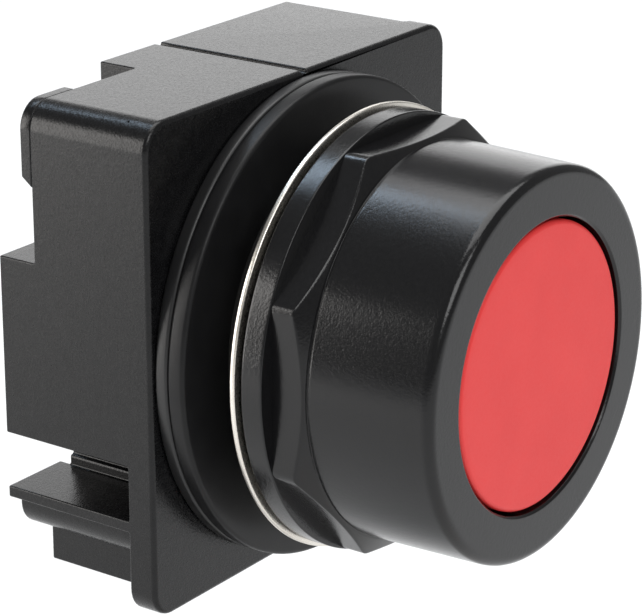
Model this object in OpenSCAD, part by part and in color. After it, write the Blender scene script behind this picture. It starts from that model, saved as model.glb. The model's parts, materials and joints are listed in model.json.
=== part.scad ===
// Flush-guard push-button operator for a 30.5 mm panel hole.
// Axis of the button along Y: front toward -Y, back of the panel toward +Y, up is +Z.
// The origin is on the button axis at the front face of the gasket, where the panel lies.
// All lengths are in millimetres. Inside the modules, places along Y are counted from the
// front face of the square base, and the helpers turned, rod and box move them by seat.

/* [Base] */
// Width and height of the square base
base_width = 44.5; // [40:0.5:50]
// Thickness of the front plate of the base
plate_thickness = 2.75; // [2:0.05:4]
// Depth of the base, from its front face to its rear face
base_depth = 16.45; // [14:0.05:22]
// Depth of the base at its upper left corner
notch_depth = 12.5; // [10:0.05:14]
// Radius of the four corners of the base
corner_radius = 2.5; // [1:0.1:4]
// How far the right side and underside of the rear body stand in from the plate
side_inset = 0.65; // [0:0.05:1.5]

/* [Panel seat] */
// Outside diameter of the two rings on the base
ring_diameter = 43.6; // [38:0.1:44.4]
// Thickness of the hard backing ring
backing_thickness = 1.35; // [0.8:0.05:3]
// Thickness of the rubber gasket
gasket_thickness = 1.7; // [0.8:0.05:3]
// Space between gasket and trim washer, where the panel goes
panel_gap = 3.52; // [1:0.02:6]

/* [Barrel] */
// Outside diameter of the threaded barrel
barrel_diameter = 30.0; // [29:0.1:30.3]
// How far the thread crest lies below the plain neck that fills the panel hole
crest_drop = 0.3; // [0.25:0.05:0.45]
// Where the barrel ends at the front
barrel_front = -14.2; // [-16:0.1:-12]

/* [Ring nut] */
// Diameter of the nut's flange and over its corners
nut_diameter = 39.3; // [37:0.1:42]
// Width of the nut over its flats
nut_flats = 36.3; // [35:0.1:39]
// Thickness of the trim washer
trim_thickness = 0.6; // [0.4:0.05:1.5]
// Diameter of the trim washer
trim_diameter = 40.1; // [38:0.1:43]
// Diameter of the guard where it leaves the nut
guard_base_diameter = 35.7; // [34:0.1:36.2]
// Diameter of the guard at its front end
guard_front_diameter = 35.0; // [33:0.1:36]
// Where the guard's front face is
guard_front = -24.9; // [-28:0.05:-22]

/* [Button] */
// Diameter of the red cap
button_diameter = 25.5; // [23:0.1:26]
// How far the cap lies below the face of the guard
button_recess = 0.2; // [0:0.05:1]
// Thickness of the face of the cap
cap_skin = 1.8; // [1.4:0.1:2]
// Wire of the return spring
spring_wire = 1.0; // [0.6:0.05:1.2]

/* [Hidden] */
$fn = 72;
half = base_width / 2;
seat = backing_thickness + gasket_thickness;
gasket_front = -seat;
trim_rear = gasket_front - panel_gap;
nut_rear = trim_rear - trim_thickness;

// base
body_bottom = side_inset - half;
core_rear = base_depth - 1.35;
slot_top = -8.3;
slot_bottom = -13.4;
slot_inner = -15.4;
rib_top = -12.4;
tongue_bottom = slot_bottom - 1.05;
lip_left = -20.7;
lip_bottom = -18;
lip_round = 2.5;
block_left = -18.2;
notch_right = -8.14;
notch_bottom = 8.1;
seat_r = 19.05;
seat_depth = 2.2;
rear_hole_r = 9.8;

// corner tab
tab_bottom = 15.6;
tab_right = -16.35;
tab_rear = notch_depth + 1.1;
tab_thickness = 0.95;
tab_skin = 0.4;
tab_gap = 0.03;

// barrel
barrel_r = barrel_diameter / 2;
crest_r = barrel_r - crest_drop;
neck_front = gasket_front - 3.35;
collar_r = barrel_r + 0.35;
bore_r = 12.6;
mouth_r = 13.8;
spigot_r = 14.8;
flange_r = 19.0;
screw_circle_r = 17.1;

// nut and guard
flange_front = nut_rear - 2.4;
corner_front = nut_rear - 4.6;
cone_front = nut_rear - 5.75;
nut_bore_r = crest_r + 0.05;
guard_bore_r = button_diameter / 2 + 0.3;
guard_round = 0.9;

// button
cap_r = button_diameter / 2;
cap_front = guard_front + button_recess;
cap_rear = cap_front + 4.7;
stem_r = 6.95;

// rear fixings
insert_x = 16.6;
insert_r = 2.25;
insert_front = 8.45;
screw_hole_r = 1.65;

// A solid turned round the button axis. Points are [radius, y].
module turned(points) {
    translate([0, seat, 0]) rotate([-90, 0, 0]) rotate_extrude() polygon(points);
}

// A cylinder along Y, from y0 to y1.
module rod(r, y0, y1, x = 0, z = 0) {
    translate([x, y0 + seat, z]) rotate([-90, 0, 0]) cylinder(r = r, h = y1 - y0);
}

module box(x0, x1, y0, y1, z0, z1) {
    translate([x0, y0 + seat, z0]) cube([x1 - x0, y1 - y0, z1 - z0]);
}

// A block along Y with four rounded corners.
module round_block(x0, x1, y0, y1, z0, z1, r) {
    box(x0 + r, x1 - r, y0, y1, z0, z1);
    box(x0, x1, y0, y1, z0 + r, z1 - r);
    for (x = [x0 + r, x1 - r], z = [z0 + r, z1 - r]) rod(r, y0, y1, x, z);
}

// An eight-sided block along Y, with a flat at the top.
module octagon(flats, y0, y1) {
    translate([0, y0 + seat, 0]) rotate([-90, 0, 0]) rotate([0, 0, 22.5])
        cylinder(r = flats / 2 / cos(22.5), h = y1 - y0, $fn = 8);
}

// ---- base ----

// Rear body, flush with the plate on the left and at the top, and set in elsewhere.
module rear_body() {
    front = 1;
    // upper part, down to the side slot
    intersection() {
        round_block(-half, half - side_inset, front, base_depth, body_bottom, half,
                    corner_radius);
        union() {
            box(-half, half, front, base_depth, slot_top, half);
            // core behind the slot
            box(slot_inner + 0.4, half, front, core_rear, body_bottom, half);
            // shelf that reaches the rear, right of the slot
            box(-12, half, front, base_depth, body_bottom, half);
        }
    }
    // low rib along the foot of the slot's inner wall
    box(slot_inner, 0, front, core_rear, tongue_bottom, rib_top);
    // tongue under the slot
    box(-half, slot_inner, front, base_depth, tongue_bottom, slot_bottom);
    // lip under the tongue, with a rounded lower edge
    box(lip_left, slot_inner, front, base_depth, lip_bottom + lip_round, tongue_bottom + 0.1);
    rod(lip_round, front, base_depth, lip_left + lip_round, lip_bottom + lip_round);
    box(lip_left + lip_round, slot_inner, front, base_depth, lip_bottom, tongue_bottom);
    // lower side block
    box(block_left, 0, front, core_rear, body_bottom, tongue_bottom);
}

module operator_base() {
    color([0.09, 0.09, 0.10]) difference() {
        union() {
            round_block(-half, half, 0, plate_thickness, -half, half, corner_radius);
            rear_body();
        }
        // upper left corner is less deep
        box(-half - 1, notch_right, notch_depth, base_depth + 1, notch_bottom, half + 1);
        // slot behind the skin that takes the tongue of the corner tab
        tab_band(notch_depth - 1.6, notch_depth + 1, tab_skin - tab_gap,
                 tab_thickness + tab_gap, tab_bottom - tab_gap, tab_right + tab_gap);
        // index groove along the top
        box(-0.4, 0.4, -1, base_depth + 1, half - 0.4, half + 1);
        // seat and hole for the barrel
        turned([[0, -1], [seat_r, -1], [seat_r, seat_depth], [14.9, seat_depth], [14.9, 5.0],
                [12.9, 5.0], [12.9, 11.0], [rear_hole_r, 11.0],
                [rear_hole_r, base_depth + 1], [0, base_depth + 1]]);
        // holes for the flange screws
        for (a = [0:90:270]) rotate([0, a, 0]) rod(0.8, 2, 6.6, 0, screw_circle_r);
        // pockets of the threaded inserts
        for (s = [-1, 1]) rod(insert_r + 0.05, insert_front - 0.05, base_depth + 1,
                              s * insert_x, 0);
    }
}

// A band that follows the upper left corner, between two depths below the surface.
module tab_band(y0, y1, outer, inner, z0, x1) {
    centre_x = corner_radius - half;
    centre_z = half - corner_radius;
    difference() {
        union() {
            rod(corner_radius - outer, y0, y1, centre_x, centre_z);
            box(outer - half, inner - half, y0, y1, z0, centre_z);
            box(centre_x, x1, y0, y1, half - inner, half - outer);
        }
        rod(corner_radius - inner, y0 - 1, y1 + 1, centre_x, centre_z);
        box(inner - half, centre_x + corner_radius, y0 - 1, y1 + 1, z0 - 1, centre_z);
        box(centre_x, centre_x + corner_radius, y0 - 1, y1 + 1, z0, half - inner);
    }
}

module corner_tab() {
    color([0.10, 0.10, 0.11]) {
        difference() {
            tab_band(notch_depth + 0.01, tab_rear, tab_gap, tab_thickness, tab_bottom - 0.8,
                     tab_right);
            // lower end slopes up toward the rear
            translate([-half, notch_depth + seat, tab_bottom - 0.8]) rotate([38, 0, 0])
                translate([-1, -1, -2]) cube([3, 4, 2]);
        }
        // hidden tongue that enters the base
        tab_band(notch_depth - 1.55, notch_depth + 0.1, tab_skin, tab_thickness, tab_bottom,
                 tab_right);
    }
}

// ---- barrel and rings ----

module threaded_barrel() {
    color([0.10, 0.10, 0.11]) difference() {
        turned([[8.5, -3.0], [bore_r, -3.0], [bore_r, -12.2], [mouth_r, -12.2],
                [mouth_r, barrel_front], [crest_r - 0.4, barrel_front],
                [crest_r, barrel_front + 0.4], [crest_r, neck_front - 0.1],
                [barrel_r, neck_front], [barrel_r, gasket_front - 0.06],
                [collar_r, gasket_front + 0.3], [collar_r, 0], [flange_r, 0],
                [flange_r, 2.15], [spigot_r, 2.15], [spigot_r, 4.9], [bore_r, 4.9],
                [bore_r, -0.5], [8.5, -0.5]]);
        for (a = [0:90:270]) rotate([0, a, 0]) translate([0, 0, screw_circle_r])
            turned([[0, -1], [2.0, -1], [2.0, 0], [1.1, 1.1], [1.1, 3], [0, 3]]);
    }
}

// Countersunk screw through the barrel's flange into the base.
module flange_screw(angle) {
    color([0.70, 0.71, 0.72]) rotate([0, angle, 0]) translate([0, 0, screw_circle_r])
    difference() {
        turned([[0, 0.05], [1.9, 0.05], [1.0, 1.15], [1.0, 2.1], [0.78, 2.1],
                [0.78, 6.4], [0, 6.4]]);
        // cross recess
        for (a = [0, 90]) rotate([0, a, 0]) box(-1.0, 1.0, -1, 0.6, -0.22, 0.22);
    }
}

module flange_screw_top() { flange_screw(0); }
module flange_screw_right() { flange_screw(90); }
module flange_screw_bottom() { flange_screw(180); }
module flange_screw_left() { flange_screw(270); }

module backing_ring() {
    r = ring_diameter / 2;
    color([0.12, 0.12, 0.13])
        turned([[collar_r + 0.05, -backing_thickness + 0.01],
                [r - 0.25, -backing_thickness + 0.01], [r, -backing_thickness + 0.26],
                [r, -0.25], [r - 0.25, -0.01], [collar_r + 0.05, -0.01]]);
}

module panel_gasket() {
    r = ring_diameter / 2;
    color([0.07, 0.07, 0.08])
        turned([[collar_r + 0.05, gasket_front], [r - 0.3, gasket_front],
                [r, gasket_front + 0.3], [r, -backing_thickness - 0.3],
                [r - 0.3, -backing_thickness], [collar_r + 0.05, -backing_thickness]]);
}

module trim_washer() {
    r = trim_diameter / 2;
    color([0.88, 0.86, 0.82])
        turned([[15.3, nut_rear + 0.005], [r - 0.1, nut_rear + 0.005], [r, nut_rear + 0.1],
                [r, trim_rear - 0.1], [r - 0.1, trim_rear], [15.3, trim_rear]]);
}

module ring_nut() {
    r = nut_diameter / 2;
    g0 = guard_base_diameter / 2;
    g1 = guard_front_diameter / 2;
    color([0.08, 0.08, 0.09]) difference() {
        union() {
            // round flange
            turned([[14, nut_rear], [r - 0.5, nut_rear], [r, nut_rear - 0.35],
                    [r, flange_front + 0.2], [r - 0.2, flange_front], [14, flange_front]]);
            // octagon with a chamfered front
            intersection() {
                octagon(nut_flats, cone_front, nut_rear - 1);
                turned([[0, nut_rear], [r, nut_rear], [r, corner_front],
                        [g0, cone_front], [0, cone_front]]);
            }
            // guard
            turned([[14, flange_front], [g0, flange_front], [g0, cone_front],
                    [g1, guard_front + guard_round],
                    [g1 - 0.13 * guard_round, guard_front + 0.5 * guard_round],
                    [g1 - 0.5 * guard_round, guard_front + 0.13 * guard_round],
                    [g1 - guard_round, guard_front],
                    [12, guard_front]]);
        }
        // counterbore that clears the neck, threaded bore and button opening
        turned([[0, nut_rear + 1], [barrel_r + 0.1, nut_rear + 1],
                [barrel_r + 0.1, nut_rear - 1.0], [nut_bore_r, nut_rear - 1.35],
                [nut_bore_r, guard_front + 3.4], [guard_bore_r, guard_front + 3.0],
                [guard_bore_r, guard_front + 0.2], [guard_bore_r + 0.2, guard_front],
                [guard_bore_r + 0.2, guard_front - 1], [0, guard_front - 1]]);
    }
}

// ---- button ----

module button_cap() {
    inside = cap_front + 2.2;
    color([0.86, 0.12, 0.10])
        turned([[0, cap_front], [cap_r - 0.6, cap_front], [cap_r - 0.18, cap_front + 0.18],
                [cap_r, cap_front + 0.6], [cap_r, cap_rear], [cap_r - 1.4, cap_rear],
                [cap_r - 1.4, inside], [6.05, inside],
                [6.05, cap_front + cap_skin], [0, cap_front + cap_skin]]);
}

module plunger() {
    color([0.80, 0.79, 0.74]) difference() {
        turned([[0, cap_front + cap_skin + 0.02], [6.0, cap_front + cap_skin + 0.02],
                [6.0, cap_front + 2.22], [cap_r - 1.45, cap_front + 2.22],
                [cap_r - 1.45, cap_front + 4.2], [9.4, cap_front + 4.2], [9.4, -16.4],
                [8.7, -16.2], [8.7, -15.2], [9.4, -15.0], [9.4, -12.5], [stem_r, -12.5],
                [stem_r, -0.42], [6.1, -0.42], [6.1, 0.62], [stem_r, 0.62], [stem_r, 6.9],
                [5.0, 6.9], [5.0, 8.4], [0, 8.4]]);
        rod(1.2, 0.5, 9, 0, 0);
    }
}

module diaphragm_seal() {
    color([0.13, 0.13, 0.14])
        turned([[mouth_r - 0.05, -12.25], [12.9, -12.25], [12.9, -13.0], [12.5, -14.2],
                [11.7, -15.0], [10.7, -15.35], [9.6, -15.35], [8.75, -15.25],
                [8.75, -16.15], [9.9, -16.15], [11.2, -16.0], [12.4, -15.3],
                [13.3, -14.0], [13.4, -13.4], [mouth_r - 0.05, -13.4]]);
}

module seal_retainer() {
    color([0.55, 0.56, 0.58])
        turned([[mouth_r - 0.35, -13.45], [mouth_r - 0.02, -13.45],
                [mouth_r - 0.02, barrel_front], [mouth_r - 0.35, barrel_front]]);
}

// Coil spring, swept along a helix. Each section is a small ring of points.
module return_spring() {
    coils = 4.5;
    steps = 32;
    sides = 8;
    y0 = -12.45 + spring_wire / 2;
    y1 = -3.55 - spring_wire / 2;
    last = coils * steps;
    points = [for (i = [0:last], k = [0:sides - 1])
        let (a = i * 360 / steps, b = k * 360 / sides,
             rr = 8.3 + spring_wire / 2 * cos(b),
             y = seat + y0 + (y1 - y0) * i / last + spring_wire / 2 * sin(b))
        [rr * cos(a), y, rr * sin(a)]];
    skin = [for (i = [0:last - 1], k = [0:sides - 1])
        let (n = (k + 1) % sides)
        [i * sides + k, i * sides + n, (i + 1) * sides + n, (i + 1) * sides + k]];
    ends = [[for (k = [sides - 1:-1:0]) k], [for (k = [0:sides - 1]) last * sides + k]];
    color([0.70, 0.70, 0.72]) polyhedron(points, concat(skin, ends));
}

module spring_washer() {
    color([0.66, 0.67, 0.69])
        turned([[7.3, -3.5], [10.4, -3.5], [10.4, -3.02], [7.3, -3.02]]);
}

module guide_bush() {
    color([0.85, 0.83, 0.76])
        turned([[7.0, -2.98], [8.48, -2.98], [8.48, -0.52], [7.0, -0.52]]);
}

module retaining_clip() {
    color([0.45, 0.45, 0.47]) difference() {
        turned([[6.15, -0.36], [9.4, -0.36], [9.4, 0.54], [6.15, 0.54]]);
        box(-2.6, 2.6, -2, 2, 0, 12);
    }
}

module pusher_plate() {
    color([0.16, 0.16, 0.17])
        turned([[5.05, 6.92], [9.0, 6.92], [9.0, 9.4], [8.6, 9.8], [1.6, 9.8],
                [1.6, 8.45], [5.05, 8.45]]);
}

module pusher_screw() {
    color([0.70, 0.71, 0.72]) difference() {
        turned([[0, 1.2], [1.15, 1.2], [1.15, 9.85], [2.7, 9.85], [2.7, 10.5],
                [2.2, 11.2], [0, 11.2]]);
        for (a = [0, 90]) rotate([0, a, 0]) box(-1.5, 1.5, 10.5, 12, -0.3, 0.3);
    }
}

// ---- rear fixings ----

module threaded_insert(side) {
    color([0.80, 0.65, 0.30]) difference() {
        turned_insert(side);
        rod(screw_hole_r, insert_front - 1, base_depth + 1, side * insert_x, 0);
    }
}

module turned_insert(side) {
    translate([side * insert_x, 0, 0])
        turned([[0, insert_front], [insert_r, insert_front], [insert_r, 11.0], [2.0, 11.2],
                [2.0, 12.6], [insert_r, 12.8], [insert_r, base_depth - 0.02],
                [0, base_depth - 0.02]]);
}

module insert_left() { threaded_insert(-1); }
module insert_right() { threaded_insert(1); }

operator_base();
threaded_barrel();
flange_screw_top();
flange_screw_right();
flange_screw_bottom();
flange_screw_left();
backing_ring();
panel_gasket();
trim_washer();
ring_nut();
button_cap();
plunger();
diaphragm_seal();
seal_retainer();
return_spring();
spring_washer();
guide_bush();
retaining_clip();
pusher_plate();
pusher_screw();
insert_left();
insert_right();
corner_tab();
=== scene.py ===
import json
import math

import bmesh
import bpy
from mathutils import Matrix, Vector


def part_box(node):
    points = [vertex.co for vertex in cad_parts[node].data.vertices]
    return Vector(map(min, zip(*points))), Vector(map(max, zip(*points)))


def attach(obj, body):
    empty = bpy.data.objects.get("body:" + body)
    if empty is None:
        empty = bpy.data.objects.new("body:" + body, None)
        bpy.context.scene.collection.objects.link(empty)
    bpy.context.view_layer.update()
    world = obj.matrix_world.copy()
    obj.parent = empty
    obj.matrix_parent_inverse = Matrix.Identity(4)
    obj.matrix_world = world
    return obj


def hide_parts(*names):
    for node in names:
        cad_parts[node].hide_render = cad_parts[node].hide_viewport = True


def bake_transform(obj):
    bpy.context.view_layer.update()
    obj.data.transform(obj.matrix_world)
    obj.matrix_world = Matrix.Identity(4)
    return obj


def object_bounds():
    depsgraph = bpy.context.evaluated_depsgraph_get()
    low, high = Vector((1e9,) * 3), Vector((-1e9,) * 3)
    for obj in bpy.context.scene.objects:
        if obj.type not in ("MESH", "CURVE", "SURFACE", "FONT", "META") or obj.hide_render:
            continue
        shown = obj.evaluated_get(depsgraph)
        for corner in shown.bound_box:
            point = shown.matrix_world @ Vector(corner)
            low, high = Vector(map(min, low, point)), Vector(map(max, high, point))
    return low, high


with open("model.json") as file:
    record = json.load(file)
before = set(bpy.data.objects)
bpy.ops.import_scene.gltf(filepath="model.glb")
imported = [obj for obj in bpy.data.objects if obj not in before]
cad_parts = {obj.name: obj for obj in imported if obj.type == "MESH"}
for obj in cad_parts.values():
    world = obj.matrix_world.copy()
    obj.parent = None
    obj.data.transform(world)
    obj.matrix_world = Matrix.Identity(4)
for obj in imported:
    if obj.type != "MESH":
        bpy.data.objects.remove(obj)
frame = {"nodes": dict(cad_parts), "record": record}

CAD_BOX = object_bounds()
MM = 0.001

# Lengths below are in millimetres and angles in degrees, unless a name says otherwise.
PITCH = 1.5
THREAD_DEPTH = 0.45
ARC_STEP = 10  # widest step along a rounded corner of the base and the tab
SHARP_FROM = 32  # edges that turn more than this stay sharp
EASED_FROM = 35  # edges that turn more than this are rounded
FLAT_WITHIN = 0.4  # faces that turn less than this become one
JOIN_WITHIN = 0.002
SAME_PLACE = 0.0001
NOISE_LOW, NOISE_HIGH = 0.3, 0.7  # the part of the noise that is spread over a range

NODES = frame["nodes"]
RECORD = frame["record"]
BODY_OF = {node: body for body, nodes in RECORD["behaviour"]["bodies"].items() for node in nodes}
SLOT_OF = {entry["node"]: entry["material_slot"] for entry in RECORD["subparts"]}


# ---- camera, floor and light ----

def direction(azimuth, elevation):
    """Unit vector from the object toward a place at this azimuth and elevation, in degrees."""
    a, e = math.radians(azimuth), math.radians(elevation)
    return Vector((math.sin(a) * math.cos(e), -math.cos(a) * math.cos(e), math.sin(e)))


def look_at(thing, place, target):
    """Puts a camera or light at a place, facing the target."""
    thing.location = place
    thing.rotation_euler = (target - place).to_track_quat("-Z", "Y").to_euler()


def make_camera():
    """A long lens from the front left and a little above."""
    azimuth, elevation = -54.5, 20.07
    distance = 237.84 * MM
    target = Vector((-13.62, -8.17, 4.48)) * MM
    data = bpy.data.cameras.new("camera")
    data.sensor_width = 36.0
    data.lens = 159.8
    data.shift_x = 0.0025
    data.shift_y = 0.0356
    data.clip_start = 0.01
    data.clip_end = 20.0
    camera = bpy.data.objects.new("camera", data)
    bpy.context.scene.collection.objects.link(camera)
    look_at(camera, target + direction(azimuth, elevation) * distance, target)
    bpy.context.scene.camera = camera


def area_light(name, azimuth, elevation, distance, size, radiance, colour=(1.0, 1.0, 1.0),
               tilt=0.0):
    """A flat soft light that faces the object. radiance is how bright its surface looks."""
    data = bpy.data.lights.new(name, "AREA")
    data.shape = "RECTANGLE"
    data.size, data.size_y = size
    data.energy = radiance * math.pi * size[0] * size[1]
    data.color = colour
    light = bpy.data.objects.new(name, data)
    bpy.context.scene.collection.objects.link(light)
    look_at(light, direction(azimuth, elevation) * distance, Vector((0.0, 0.0, 0.0)))
    light.rotation_euler.rotate_axis("Z", math.radians(tilt))


def make_studio():
    """White surroundings and five soft lights."""
    scene = bpy.context.scene
    scene.view_settings.view_transform = "Standard"
    world = bpy.data.worlds.new("studio")
    scene.world = world
    world.use_nodes = True
    sky = world.node_tree.nodes["Background"]
    sky.inputs["Color"].default_value = (1.0, 1.0, 1.0, 1.0)
    sky.inputs["Strength"].default_value = 0.3
    area_light("softbox_above", 110, 80, 0.7, (0.6, 0.6), 3.6)
    area_light("softbox_front", -28, 38, 0.9, (0.5, 0.45), 4.6)
    area_light("panel_behind", 122, 13, 1.0, (0.8, 0.6), 1.55)
    area_light("strip_cool", 170, 55.3, 1.0, (0.27, 0.1), 12.5, (0.66, 0.82, 1.0), -18)
    area_light("panel_left", -134, 10.4, 0.3, (0.11, 0.2), 6.2, (1.0, 0.97, 0.94))


def make_floor():
    """A plain pale floor a little below the object."""
    size = 6.0
    drop = 34 * MM
    mesh = bpy.data.meshes.new("floor")
    z = CAD_BOX[0][2] - drop
    corners = [(-size, -size, z), (size, -size, z), (size, size, z), (-size, size, z)]
    mesh.from_pydata(corners, [], [(0, 1, 2, 3)])
    floor = bpy.data.objects.new("floor", mesh)
    bpy.context.scene.collection.objects.link(floor)
    pale = bpy.data.materials.new("pale_floor")
    pale.use_nodes = True
    shader = pale.node_tree.nodes["Principled BSDF"]
    shader.inputs["Base Color"].default_value = (0.9, 0.9, 0.9, 1.0)
    shader.inputs["Roughness"].default_value = 0.9
    mesh.materials.append(pale)


make_camera()
make_studio()
make_floor()


# ---- materials ----

def new_material(name):
    """A new material with its node tree and its main shader."""
    material = bpy.data.materials.new(name)
    material.use_nodes = True
    tree = material.node_tree
    return material, tree, tree.nodes["Principled BSDF"]


def noise(tree, size, detail=3.0, stretch=(1.0, 1.0, 1.0)):
    """Noise on the piece's own place, with features about `size` metres across."""
    place = tree.nodes.new("ShaderNodeTexCoord")
    mapping = tree.nodes.new("ShaderNodeMapping")
    mapping.inputs["Scale"].default_value = [1.0 / (size * s) for s in stretch]
    texture = tree.nodes.new("ShaderNodeTexNoise")
    texture.inputs["Scale"].default_value = 1.0
    texture.inputs["Detail"].default_value = detail
    tree.links.new(place.outputs["Object"], mapping.inputs["Vector"])
    tree.links.new(mapping.outputs["Vector"], texture.inputs["Vector"])
    return texture.outputs["Fac"]


def shades(tree, shader, factor, dark, light):
    """Lets the base colour wander between two shades."""
    ramp = tree.nodes.new("ShaderNodeValToRGB")
    ramp.color_ramp.elements[0].position = NOISE_LOW
    ramp.color_ramp.elements[1].position = NOISE_HIGH
    ramp.color_ramp.elements[0].color = (*dark, 1.0)
    ramp.color_ramp.elements[1].color = (*light, 1.0)
    tree.links.new(factor, ramp.inputs["Fac"])
    tree.links.new(ramp.outputs["Color"], shader.inputs["Base Color"])


def spread(tree, socket, factor, low, high):
    """Lets a shader value wander between two limits."""
    span = tree.nodes.new("ShaderNodeMapRange")
    span.inputs["From Min"].default_value = NOISE_LOW
    span.inputs["From Max"].default_value = NOISE_HIGH
    span.inputs["To Min"].default_value = low
    span.inputs["To Max"].default_value = high
    tree.links.new(factor, span.inputs["Value"])
    tree.links.new(span.outputs["Result"], socket)


def relief(tree, shader, layers):
    """Bumps laid over each other: (noise, depth in metres) for each layer."""
    below = None
    for height, depth in layers:
        bump = tree.nodes.new("ShaderNodeBump")
        bump.inputs["Strength"].default_value = 1.0
        bump.inputs["Distance"].default_value = depth
        tree.links.new(height, bump.inputs["Height"])
        if below:
            tree.links.new(below.outputs["Normal"], bump.inputs["Normal"])
        below = bump
    tree.links.new(below.outputs["Normal"], shader.inputs["Normal"])


def moulded(name, dark, light, rough, grain, ripple, specular=0.5):
    """Moulded plastic or rubber. grain and ripple are (size, depth) in millimetres."""
    material, tree, shader = new_material(name)
    fine = noise(tree, grain[0] * MM, 4.0)
    wide = noise(tree, ripple[0] * MM, 2.0)
    shades(tree, shader, wide, dark, light)
    spread(tree, shader.inputs["Roughness"], fine, *rough)
    relief(tree, shader, [(wide, ripple[1] * MM), (fine, grain[1] * MM)])
    shader.inputs["Specular IOR Level"].default_value = specular
    return material


def metal(name, dark, light, rough, grain, stretch=(1.0, 1.0, 1.0)):
    """Metal with a fine grain. grain is (size, depth) in millimetres."""
    material, tree, shader = new_material(name)
    fine = noise(tree, grain[0] * MM, 4.0, stretch)
    wide = noise(tree, 6 * MM, 2.0)
    shades(tree, shader, wide, dark, light)
    spread(tree, shader.inputs["Roughness"], fine, *rough)
    relief(tree, shader, [(fine, grain[1] * MM)])
    shader.inputs["Metallic"].default_value = 1.0
    return material


MATERIALS = {
    "base_plastic": moulded("base_plastic", (0.003, 0.003, 0.0034), (0.0055, 0.0055, 0.006),
                            (0.2, 0.32), (0.2, 0.016), (0.9, 0.01), 0.3),
    "barrel_plastic": moulded("barrel_plastic", (0.006, 0.006, 0.0065), (0.009, 0.009, 0.0095),
                              (0.35, 0.5), (0.3, 0.006), (3.0, 0.01)),
    "ring_plastic": moulded("ring_plastic", (0.006, 0.006, 0.0065), (0.009, 0.009, 0.0095),
                            (0.36, 0.44), (0.25, 0.004), (4.0, 0.01)),
    "nut_plastic": moulded("nut_plastic", (0.004, 0.004, 0.0045), (0.006, 0.006, 0.0065),
                           (0.14, 0.22), (0.18, 0.010), (0.34, 0.008), 0.36),
    "red_plastic": moulded("red_plastic", (0.755, 0.038, 0.038), (0.79, 0.044, 0.043),
                           (0.42, 0.5), (0.3, 0.003), (5.0, 0.01), 0.35),
    "natural_plastic": moulded("natural_plastic", (0.62, 0.59, 0.50), (0.70, 0.67, 0.58),
                               (0.4, 0.5), (0.3, 0.003), (5.0, 0.01)),
    "dark_plastic": moulded("dark_plastic", (0.02, 0.02, 0.022), (0.03, 0.03, 0.032),
                            (0.4, 0.5), (0.3, 0.004), (4.0, 0.01)),
    "gasket_rubber": moulded("gasket_rubber", (0.006, 0.006, 0.0065), (0.009, 0.009, 0.0095),
                             (0.34, 0.44), (0.18, 0.005), (3.0, 0.012), 0.22),
    "seal_rubber": moulded("seal_rubber", (0.014, 0.014, 0.015), (0.02, 0.02, 0.021),
                           (0.55, 0.7), (0.18, 0.004), (3.0, 0.01), 0.4),
    "trim_metal": metal("trim_metal", (0.66, 0.62, 0.56), (0.78, 0.75, 0.69), (0.24, 0.36),
                        (0.12, 0.004), (1.0, 0.3, 1.0)),
    "steel": metal("steel", (0.45, 0.46, 0.48), (0.55, 0.56, 0.58), (0.25, 0.4), (0.15, 0.002)),
    "spring_steel": metal("spring_steel", (0.34, 0.35, 0.37), (0.45, 0.46, 0.48),
                          (0.22, 0.36), (0.15, 0.002), (1.0, 4.0, 1.0)),
    "zinc_steel": metal("zinc_steel", (0.56, 0.57, 0.60), (0.66, 0.67, 0.68),
                        (0.22, 0.38), (0.2, 0.002)),
    "brass": metal("brass", (0.62, 0.44, 0.17), (0.74, 0.55, 0.24), (0.2, 0.34),
                   (0.12, 0.002), (1.0, 3.0, 1.0)),
}


# ---- mesh helpers ----

def add_piece(name, mesh, *nodes, stretch=None):
    """A finished piece that stands for CAD nodes, with their body, slot and finish.
    stretch, when given, is (body, body, start, end), but only its presence is used: the piece
    then keeps its place with its transform baked in and joins no body; the bodies and ends in it
    are not used."""
    piece = bpy.data.objects.new(name, mesh)
    bpy.context.scene.collection.objects.link(piece)
    mesh.materials.clear()
    mesh.materials.append(MATERIALS[SLOT_OF[nodes[0]]])
    if stretch:
        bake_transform(piece)
    else:
        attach(piece, BODY_OF[nodes[0]])
    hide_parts(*nodes)
    return piece


def smooth(mesh):
    """Smooth shading, with edges kept sharp where the surface turns steeply."""
    mesh.shade_smooth()
    mesh.set_sharp_from_angle(angle=math.radians(SHARP_FROM))
    return mesh


def point_outward(mesh):
    """Joins doubled corners and turns every face outward."""
    shape = bmesh.new()
    shape.from_mesh(mesh)
    bmesh.ops.remove_doubles(shape, verts=shape.verts, dist=SAME_PLACE * MM)
    bmesh.ops.recalc_face_normals(shape, faces=shape.faces)
    shape.to_mesh(mesh)
    shape.free()


def whole_faces(mesh):
    """The mesh with loose corners joined and each flat face made of one piece."""
    shape = bmesh.new()
    shape.from_mesh(mesh)
    bmesh.ops.remove_doubles(shape, verts=shape.verts, dist=JOIN_WITHIN * MM)
    bmesh.ops.dissolve_limit(shape, angle_limit=math.radians(FLAT_WITHIN), verts=shape.verts,
                             edges=shape.edges)
    shape.to_mesh(mesh)
    shape.free()
    return mesh


def finish_mesh(mesh, modifiers):
    """The mesh with modifiers applied. modifiers are (type, {setting: value})."""
    holder = bpy.data.objects.new("holder", mesh)
    bpy.context.scene.collection.objects.link(holder)
    for kind, settings in modifiers:
        modifier = holder.modifiers.new(kind.lower(), kind)
        for setting, value in settings.items():
            setattr(modifier, setting, value)
    bpy.context.view_layer.update()
    evaluated = holder.evaluated_get(bpy.context.evaluated_depsgraph_get())
    result = bpy.data.meshes.new_from_object(evaluated)
    bpy.data.objects.remove(holder)
    return result


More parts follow.
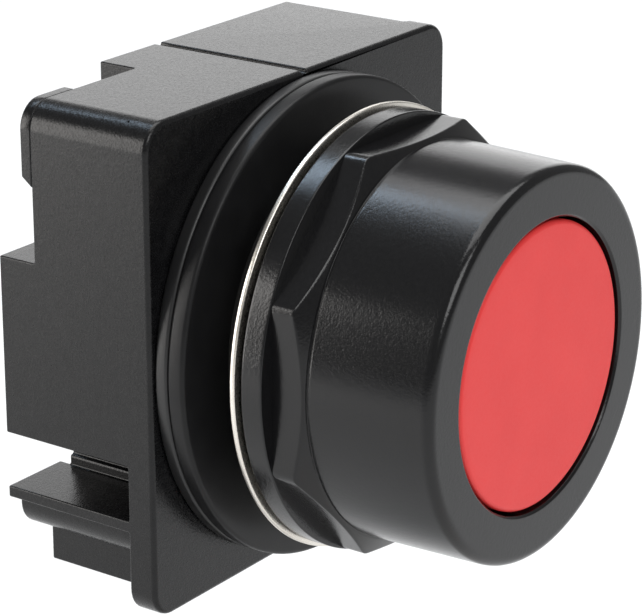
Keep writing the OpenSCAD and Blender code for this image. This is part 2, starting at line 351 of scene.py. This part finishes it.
def eased(mesh, radius, segments=3):
    """The mesh with every sharp edge rounded, and flat faces that shade flat."""
    bevel = {"width": radius * MM, "segments": segments, "limit_method": "ANGLE",
             "angle_limit": math.radians(EASED_FROM), "use_clamp_overlap": False,
             "miter_outer": "MITER_ARC"}
    mesh = smooth(finish_mesh(mesh, [("BEVEL", bevel)]))
    return finish_mesh(mesh, [("WEIGHTED_NORMAL", {"weight": 80, "keep_sharp": True})])


def combined(mesh, operation, others):
    """The mesh joined with, or cut by, each of the other closed meshes."""
    helpers = []
    for other in others:
        helper = bpy.data.objects.new("helper", other)
        bpy.context.scene.collection.objects.link(helper)
        helpers.append(helper)
    steps = [("BOOLEAN", {"operation": operation, "solver": "EXACT", "object": helper})
             for helper in helpers]
    result = finish_mesh(mesh, steps)
    for helper in helpers:
        bpy.data.objects.remove(helper)
    return result


def rounded(corners, widest_step=15):
    """Points of a closed outline. Each corner is (u, v, rounding, more values)."""
    points = []
    for k, (u, v, rounding, *more) in enumerate(corners):
        here = Vector((u, v))
        to_last = Vector(corners[k - 1][:2]) - here
        to_next = Vector(corners[(k + 1) % len(corners)][:2]) - here
        if not rounding or min(to_last.length, to_next.length) < 1e-6:
            points.append((u, v, *more))
            continue
        to_last.normalize()
        to_next.normalize()
        half = to_last.angle(to_next) / 2
        cut = rounding / math.tan(half)
        centre = here + (to_last + to_next).normalized() * (rounding / math.sin(half))
        first = here + to_last * cut - centre
        sweep = first.angle_signed(here + to_next * cut - centre)
        steps = max(3, round(abs(sweep) / math.radians(widest_step)))
        for i in range(steps + 1):
            a = -sweep * i / steps
            arm = Vector((first.x * math.cos(a) - first.y * math.sin(a),
                          first.x * math.sin(a) + first.y * math.cos(a)))
            points.append((*(centre + arm), *more))
    return points


def lofted(rings):
    """A closed mesh through rings of (x, z) points. rings are (points, y), in millimetres."""
    count = len(rings[0][0])
    places = [(x * MM, y * MM, z * MM) for points, y in rings for x, z in points]
    faces = [list(range(count)), list(range(len(places) - 1, len(places) - 1 - count, -1))]
    for ring in range(len(rings) - 1):
        for i in range(count):
            a, b = ring * count + i, ring * count + (i + 1) % count
            faces.append((b, a, a + count, b + count))
    mesh = bpy.data.meshes.new("solid")
    mesh.from_pydata(places, [], faces)
    point_outward(mesh)
    return mesh


def prism(corners, y0, y1):
    """A block along y with the given outline in x and z."""
    points = rounded(corners, ARC_STEP)
    return lofted([(points, y0), (points, y1)])


def block(x0, x1, y0, y1, z0, z1):
    """A plain box between these limits."""
    return prism([(x0, z0, 0), (x1, z0, 0), (x1, z1, 0), (x0, z1, 0)], y0, y1)


def round_bar(radius, y0, y1, x=0.0, steps=96):
    """A cylinder along y, at this x."""
    turns = [2 * math.pi * i / steps for i in range(steps)]
    ring = [(x + radius * math.cos(t), radius * math.sin(t)) for t in turns]
    return lofted([(ring, y0), (ring, y1)])


# ---- turned shapes, made by a rule in Geometry Nodes ----

class Tree:
    """A Geometry Nodes tree with short ways to add nodes and do sums."""

    def __init__(self, name):
        self.group = bpy.data.node_groups.new(name, "GeometryNodeTree")
        self.group.interface.new_socket("Geometry", in_out="INPUT",
                                        socket_type="NodeSocketGeometry")
        self.group.interface.new_socket("Geometry", in_out="OUTPUT",
                                        socket_type="NodeSocketGeometry")
        self.start = self.group.nodes.new("NodeGroupInput")
        self.end = self.group.nodes.new("NodeGroupOutput")

    def value(self, name, kind="NodeSocketFloat"):
        self.group.interface.new_socket(name, in_out="INPUT", socket_type=kind)
        return self.start.outputs[name]

    def node(self, kind, inputs=None, **settings):
        made = self.group.nodes.new(kind)
        for setting, value in settings.items():
            setattr(made, setting, value)
        for key, value in (inputs or {}).items():
            self.feed(made.inputs[key], value)
        return made

    def feed(self, socket, value):
        if isinstance(value, bpy.types.NodeSocket):
            self.group.links.new(value, socket)
        else:
            socket.default_value = value

    def math(self, operation, *values):
        made = self.node("ShaderNodeMath", operation=operation)
        for socket, value in zip(made.inputs, values):
            self.feed(socket, value)
        return made.outputs[0]

    def close(self, geometry, material):
        real = self.node("GeometryNodeRealizeInstances", {0: geometry})
        painted = self.node("GeometryNodeSetMaterial", {"Geometry": real.outputs[0],
                                                        "Material": material})
        self.group.links.new(painted.outputs[0], self.end.inputs[0])


def grow(tree, mesh, values):
    """Runs a tree on a mesh and returns the result as a plain mesh."""
    holder = bpy.data.objects.new("holder", mesh)
    bpy.context.scene.collection.objects.link(holder)
    modifier = holder.modifiers.new("grow", "NODES")
    modifier.node_group = tree.group
    for item in tree.group.interface.items_tree:
        if item.in_out == "INPUT" and item.name in values:
            modifier[item.identifier] = values[item.name]
    bpy.context.view_layer.update()
    evaluated = holder.evaluated_get(bpy.context.evaluated_depsgraph_get())
    result = bpy.data.meshes.new_from_object(evaluated)
    holder.modifiers.remove(modifier)
    bpy.data.objects.remove(holder)
    point_outward(result)
    return result


def turned_tree():
    """Turns a section round the button axis, with eight flats and a screw thread where the
    section's own `flats` and `thread` values ask for them."""
    tree = Tree("turned_section")
    section = tree.start.outputs["Geometry"]
    steps = tree.value("Steps", "NodeSocketInt")
    crowding = tree.value("Crowding at corners")
    apothem = tree.value("Half width over flats")
    rounding = tree.value("Corner rounding")
    depth = tree.value("Thread depth")
    pitch = tree.value("Thread pitch")
    material = tree.value("Material", "NodeSocketMaterial")

    size = tree.node("GeometryNodeAttributeDomainSize", {0: section})
    count = size.outputs["Point Count"]
    around = tree.math("ADD", steps, 1)
    grid = tree.node("GeometryNodeMeshGrid", {"Vertices X": tree.math("ADD", count, 1),
                                              "Vertices Y": around})
    index = tree.node("GeometryNodeInputIndex").outputs[0]
    row = tree.math("MODULO", tree.math("FLOOR", tree.math("DIVIDE", index, around)), count)
    turn = tree.math("DIVIDE", tree.math("MODULO", index, around), steps)
    plain = tree.math("MULTIPLY", turn, 2 * math.pi)
    wave = tree.math("DIVIDE", tree.math("SINE", tree.math("MULTIPLY", plain, 8)), 8)
    angle = tree.math("MULTIPLY_ADD", wave, crowding, plain)

    def sampled(source, kind):
        picked = tree.node("GeometryNodeSampleIndex", {"Geometry": section, "Index": row},
                           data_type=kind, domain="POINT")
        socket = [s for s in picked.inputs if s.enabled and s.name == "Value"][0]
        tree.group.links.new(source, socket)
        return [s for s in picked.outputs if s.enabled][0]

    def stored(name):
        named = tree.node("GeometryNodeInputNamedAttribute", {"Name": name}, data_type="FLOAT")
        return sampled(named.outputs[0], "FLOAT")

    place = sampled(tree.node("GeometryNodeInputPosition").outputs[0], "FLOAT_VECTOR")
    parts = tree.node("ShaderNodeSeparateXYZ", {0: place})
    radius, y = parts.outputs["X"], parts.outputs["Y"]

    eighth = math.pi / 4
    inside = tree.math("MODULO", tree.math("ADD", angle, eighth / 2), eighth)
    off_centre = tree.math("SUBTRACT", inside, eighth / 2)
    flat = tree.math("DIVIDE", apothem, tree.math("COSINE", off_centre))
    clipped = tree.math("SMOOTH_MIN", radius, flat, rounding)
    cut = tree.math("SUBTRACT", clipped, radius)
    faced = tree.math("MULTIPLY_ADD", cut, stored("flats"), radius)

    along = tree.math("ADD", tree.math("DIVIDE", y, pitch),
                      tree.math("DIVIDE", angle, 2 * math.pi))
    swing = tree.math("COSINE", tree.math("MULTIPLY", along, 2 * math.pi))
    steep = tree.math("MAXIMUM", tree.math("MINIMUM", tree.math("MULTIPLY", swing, 1.5), 1), -1)
    share = tree.math("MULTIPLY_ADD", steep, 0.5, 0.5)
    groove = tree.math("MULTIPLY", tree.math("MULTIPLY", share, depth), stored("thread"))
    final = tree.math("SUBTRACT", faced, groove)

    x = tree.math("MULTIPLY", final, tree.math("COSINE", angle))
    z = tree.math("MULTIPLY", final, tree.math("SINE", angle))
    spot = tree.node("ShaderNodeCombineXYZ", {"X": x, "Y": y, "Z": z})
    moved = tree.node("GeometryNodeSetPosition", {"Geometry": grid.outputs["Mesh"],
                                                  "Position": spot.outputs[0]})
    tree.close(moved.outputs[0], material)
    return tree


def section_mesh(corners, longest=1.0):
    """A closed section as a ring of points. Each corner is (radius, y, rounding, flats,
    thread), in millimetres, the last three optional. Stretches are cut to `longest`."""
    points = rounded([tuple(c) + (0,) * (5 - len(c)) for c in corners])
    dense = []
    for here, after in zip(points, points[1:] + points[:1]):
        length = math.dist(here[:2], after[:2])
        pieces = max(1, math.ceil(length / longest))
        for i in range(pieces):
            dense.append([a + (b - a) * i / pieces for a, b in zip(here, after)])
    mesh = bpy.data.meshes.new("section")
    mesh.from_pydata([(p[0] * MM, p[1] * MM, 0.0) for p in dense], [], [])
    for name, column in (("flats", 2), ("thread", 3)):
        values = mesh.attributes.new(name, "FLOAT", "POINT")
        for item, p in zip(values.data, dense):
            item.value = p[column]
    return mesh


TURNED = turned_tree()


def turned(name, node, corners, longest=1.0, steps=192, **values):
    """Adds a piece turned from a section, in place of a CAD node."""
    settings = {"Steps": steps, "Crowding at corners": 0.0, "Half width over flats": 1.0,
                "Corner rounding": 0.0, "Thread depth": 0.0, "Thread pitch": 1.0,
                "Material": MATERIALS[SLOT_OF[node]]}
    settings.update(values)
    return add_piece(name, smooth(grow(TURNED, section_mesh(corners, longest), settings)), node)


def reach(node):
    """(outer radius, front y, rear y) of a turned CAD node, in millimetres."""
    low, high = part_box(node)
    return high[0] / MM, low[1] / MM, high[1] / MM


# ---- ring nut, washer and rings ----

def make_ring_nut():
    """The flange, the eight flats and the round guard, with the thread inside."""
    outer, front, rear = reach("ring_nut")
    bore, counterbore = 14.75, 15.1
    opening = 13.05
    shoulder = rear - 2.4
    corner = rear - 4.6
    guard_start = rear - 5.75
    edge = outer - 0.12
    guard_base, guard_front = 17.85, 17.5
    half_flats, corner_rounding = 18.15, 0.18
    section = [
        (counterbore, rear, 0.1),
        (outer - 0.45, rear, 0.1),
        (outer, rear - 0.35, 0.15),
        (outer, shoulder, 0.12),
        (edge, shoulder, 0, 0.0),
        (edge, shoulder, 0, 0.97),
        (edge, shoulder, 0, 1.0),
        (edge, shoulder - 0.04, 0, 1.0),
        (edge, corner, 0.12, 1.0),
        (guard_base + 0.1, guard_start + 0.06, 0.12, 1.0),
        (guard_base - 0.08, guard_start, 0.05, 1.0),
        (guard_base - 0.06, guard_start - 0.3, 0.1),
        (guard_front, front, 0.85),
        (opening + 0.2, front, 0.08),
        (opening, front + 0.2, 0.08),
        (opening, front + 3.0, 0.2),
        (bore, front + 3.4, 0.1),
        (bore, rear - 9.0, 0, 0.0, 0.0),
        (bore, rear - 8.0, 0, 0.0, -1.0),
        (bore, rear - 1.9, 0, 0.0, -1.0),
        (bore, rear - 1.35, 0, 0.0, 0.0),
        (counterbore, rear - 1.0, 0),
    ]
    values = {"Crowding at corners": 0.7, "Half width over flats": half_flats * MM,
              "Corner rounding": corner_rounding * MM, "Thread depth": THREAD_DEPTH * MM,
              "Thread pitch": PITCH * MM}
    return turned("nut_with_guard", "ring_nut", section, 0.16, 384, **values)


def make_barrel():
    """The flanged barrel, with a plain neck behind its thread."""
    outer, front, rear = reach("threaded_barrel")
    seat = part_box("panel_gasket")[0][1] / MM
    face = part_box("backing_ring")[1][1] / MM + 0.01
    crest, neck, collar, spigot = 14.7, 15.0, 15.35, 14.8
    bore, mouth, stem_hole = 12.6, 13.8, 8.5
    flange_rear = face + 2.15
    neck_front = seat - 3.35
    section = [
        (crest - 0.6, front, 0.1),
        (crest, front + 0.5, 0.1, 0.0, 0.3),
        (crest, front + 1.0, 0, 0.0, 1.0),
        (crest, neck_front - 0.9, 0, 0.0, 1.0),
        (crest, neck_front - 0.3, 0, 0.0, 0.0),
        (neck, neck_front, 0.05),
        (neck, seat, 0),
        (collar, seat + 0.3, 0.1),
        (collar, face, 0),
        (outer, face, 0.1),
        (outer, flange_rear, 0.1),
        (spigot, flange_rear, 0.1),
        (spigot, rear, 0.2),
        (bore, rear, 0.2),
        (bore, face - 0.5, 0.1),
        (stem_hole, face - 0.5, 0.1),
        (stem_hole, face - 3.0, 0.1),
        (bore, face - 3.0, 0.1),
        (bore, front + 2.0, 0.05),
        (mouth, front + 2.0, 0.05),
        (mouth, front, 0.1),
    ]
    values = {"Thread depth": THREAD_DEPTH * MM, "Thread pitch": PITCH * MM}
    return turned("barrel_with_thread", "threaded_barrel", section, 0.14, 240, **values)


def make_rings():
    """The backing ring, the gasket and the thin pale washer."""
    inner, washer_inner, washer_face = 15.4, 15.3, 18.9
    outer, front, rear = reach("backing_ring")
    turned("backing_ring_eased", "backing_ring",
           [(inner, front, 0.05), (outer, front, 0.3), (outer, rear, 0.3),
            (inner, rear, 0.05)], steps=256)
    outer, front, rear = reach("panel_gasket")
    turned("gasket_eased", "panel_gasket",
           [(inner, front, 0.1), (outer, front, 0.4), (outer, rear, 0.35),
            (inner, rear, 0.1)], steps=256)
    outer, front, rear = reach("trim_washer")
    rim_front = front + 0.1
    turned("trim_washer_eased", "trim_washer",
           [(washer_inner, front, 0.05), (washer_face, front, 0.1),
            (washer_face + 0.2, rim_front, 0.05), (outer, rim_front, 0.15),
            (outer, rear, 0.15), (washer_inner, rear, 0.05)], steps=256)


# ---- button ----

def make_cap():
    """The flat red cap, hollow behind."""
    outer, front, rear = reach("button_cap")
    centre, skirt, boss = 0.001, 11.35, 6.05
    skin, boss_rear = front + 1.8, front + 2.2
    turned("cap_eased", "button_cap",
           [(centre, front, 0), (outer - 1.6, front, 0), (outer, front, 0.45),
            (outer, rear, 0.2), (skirt, rear, 0.1), (skirt, boss_rear, 0.3),
            (boss, boss_rear, 0.1), (boss, skin, 0), (centre, skin, 0)])


# ---- spring ----

def spring_tree():
    """A round wire wound along the button axis."""
    tree = Tree("coil_spring")
    coils = tree.value("Coils")
    radius = tree.value("Radius")
    wire = tree.value("Wire radius")
    length = tree.value("Length")
    front = tree.value("Front y")
    material = tree.value("Material", "NodeSocketMaterial")
    helix = tree.node("GeometryNodeCurveSpiral", {"Resolution": 48, "Rotations": coils,
                                                  "Start Radius": radius, "End Radius": radius,
                                                  "Height": length})
    ring = tree.node("GeometryNodeCurvePrimitiveCircle", {"Resolution": 12, "Radius": wire})
    tube = tree.node("GeometryNodeCurveToMesh", {"Curve": helix.outputs[0],
                                                 "Profile Curve": ring.outputs[0],
                                                 "Fill Caps": True})
    shift = tree.node("ShaderNodeCombineXYZ", {"Y": front})
    placed = tree.node("GeometryNodeTransform", {"Geometry": tube.outputs[0],
                                                 "Translation": shift.outputs[0],
                                                 "Rotation": (-math.pi / 2, 0.0, 0.0)})
    tree.close(placed.outputs[0], material)
    return tree


def make_spring():
    """The return spring, wound once at its rest length."""
    outer, front, rear = reach("return_spring")
    wire, coils = 0.5, 4.5
    values = {"Coils": coils, "Radius": (outer - wire) * MM, "Wire radius": wire * MM,
              "Length": (rear - front - 2 * wire) * MM, "Front y": (front + wire) * MM,
              "Material": MATERIALS["spring_steel"]}
    mesh = grow(spring_tree(), bpy.data.meshes.new("spring"), values)
    stretch = ("operator_body", "button", (0.0, rear * MM, 0.0), (0.0, front * MM, 0.0))
    add_piece("coil_spring", smooth(mesh), "return_spring", stretch=stretch)


make_ring_nut()
make_barrel()
make_rings()
make_cap()
make_spring()


# ---- base and small parts ----

def plate_rings(half, corner, front, rear, edge):
    """Rings of a square plate whose front edge is rounded."""
    rings = []
    for step in range(7):
        t = math.radians(15 * step)
        inset = edge * (1 - math.sin(t))
        h, r = half - inset, corner - inset
        outline = rounded([(-h, -h, r), (h, -h, r), (h, h, r), (-h, h, r)], ARC_STEP)
        rings.append((outline, front + edge * (1 - math.cos(t))))
    rings.append((rings[-1][0], rear))
    return rings


def make_base():
    """The front plate with the rear body, the side slot and what is cut out of them."""
    low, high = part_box("operator_base")
    half, front, rear = high[0] / MM, low[1] / MM, high[1] / MM
    corner, inset = 2.5, 0.65
    inside = front + 1.0
    plate_rear = front + 2.75
    core_rear = rear - 1.35
    notch_rear = front + 12.5
    right, bottom = half - inset, inset - half
    slot_top, slot_foot, tongue_foot = -8.3, -13.4, -14.45
    slot_inner, rib_top, wall = -15.4, -12.4, -15.0
    block_left, shelf_left, lip_left, lip_foot = -18.2, -12.0, -20.7, -18.0
    notch_right, notch_foot = -8.14, 8.1
    seat, hole, clearance, opening = 19.05, 14.9, 12.9, 9.8
    pocket, pocket_x, pocket_front = 2.3, 16.6, front + 8.4
    plate = lofted(plate_rings(half, corner, front, plate_rear, 0.45))
    # The right shoulder starts down at an angle, so that its edge meets the plate cleanly.
    shoulder = [(right - 2.1, half, 0), (right - 0.65, half - 0.84, 1.2),
                (right, half - 2.2, 1.0)]
    core = prism([(-half, slot_top, 0), (-half, half, corner), *shoulder,
                  (right, bottom, corner), (block_left, bottom, 0), (block_left, tongue_foot, 0),
                  (slot_inner, tongue_foot, 0), (slot_inner, rib_top - 0.15, 0),
                  (slot_inner + 0.15, rib_top, 0), (wall, rib_top, 0), (wall, slot_top, 0)],
                 inside, core_rear)
    back = prism([(-half, slot_top, 0), (-half, half, corner), *shoulder,
                  (right, bottom, corner), (shelf_left, bottom, 0), (shelf_left, slot_top, 0)],
                 inside + 2.0, rear)
    tongue = block(-half, slot_inner + 0.2, inside, rear, tongue_foot, slot_foot)
    lip = prism([(lip_left, tongue_foot + 0.1, 0), (lip_left, lip_foot, 2.45),
                 (slot_inner, lip_foot, 0), (slot_inner, tongue_foot + 0.1, 0)], inside, rear)
    shape = combined(plate, "UNION", [core, back, tongue, lip])
    cuts = [
        block(-half - 1, notch_right, notch_rear, rear + 1, notch_foot, half + 1),
        prism([(-0.4, half - 0.4, 0.3), (0.4, half - 0.4, 0.3), (0.4, half + 1, 0),
               (-0.4, half + 1, 0)], front - 1, rear + 1),
    ]
    bores = [(seat, front + 2.2), (hole, front + 5.0), (clearance, front + 11.0),
             (opening, rear + 1)]
    cuts += [round_bar(radius, front - 1, end) for radius, end in bores]
    cuts += [round_bar(pocket, pocket_front, rear + 1, x, 32) for x in (pocket_x, -pocket_x)]
    shape = whole_faces(combined(shape, "DIFFERENCE", cuts))
    add_piece("base_eased", eased(shape, 0.15), "operator_base")


def make_corner_tab():
    """The thin tab round the upper left rear corner, and its tongue under the plate."""
    low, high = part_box("corner_tab")
    half = high[2] / MM
    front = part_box("operator_base")[0][1] / MM + 12.51
    rear = high[1] / MM
    right = high[0] / MM
    corner, thick = 2.47, 0.92
    foot_front, foot_rear = 14.83, 15.66
    tongue_foot, tongue_inset = 15.6, 0.37

    def band(foot, outer, inner):
        r, s = corner - outer, corner - inner
        left, top = outer - half, half - outer
        return rounded([(left, foot, 0), (left, top, r), (right, top, 0),
                        (right, half - inner, 0), (inner - half, half - inner, s),
                        (inner - half, foot, 0)], ARC_STEP)

    visible = lofted([(band(foot_front, 0.0, thick), front),
                      (band(foot_rear, 0.0, thick), rear)])
    hidden = band(tongue_foot, tongue_inset, thick)
    tongue = lofted([(hidden, low[1] / MM), (hidden, front)])
    both = bmesh.new()
    both.from_mesh(eased(visible, 0.1))
    both.from_mesh(tongue)
    mesh = bpy.data.meshes.new("corner_tab")
    both.to_mesh(mesh)
    both.free()
    add_piece("corner_tab_eased", smooth(mesh), "corner_tab")


make_base()
make_corner_tab()
for small in ("pusher_plate", "pusher_screw", "retaining_clip", "insert_left", "insert_right"):
    add_piece(small + "_eased", eased(whole_faces(NODES[small].data.copy()), 0.1), small)

# CAD pieces that stay in view take the finish of their slot.
for kept in NODES:
    if not NODES[kept].hide_render:
        NODES[kept].material_slots[0].material = MATERIALS[SLOT_OF[kept]]
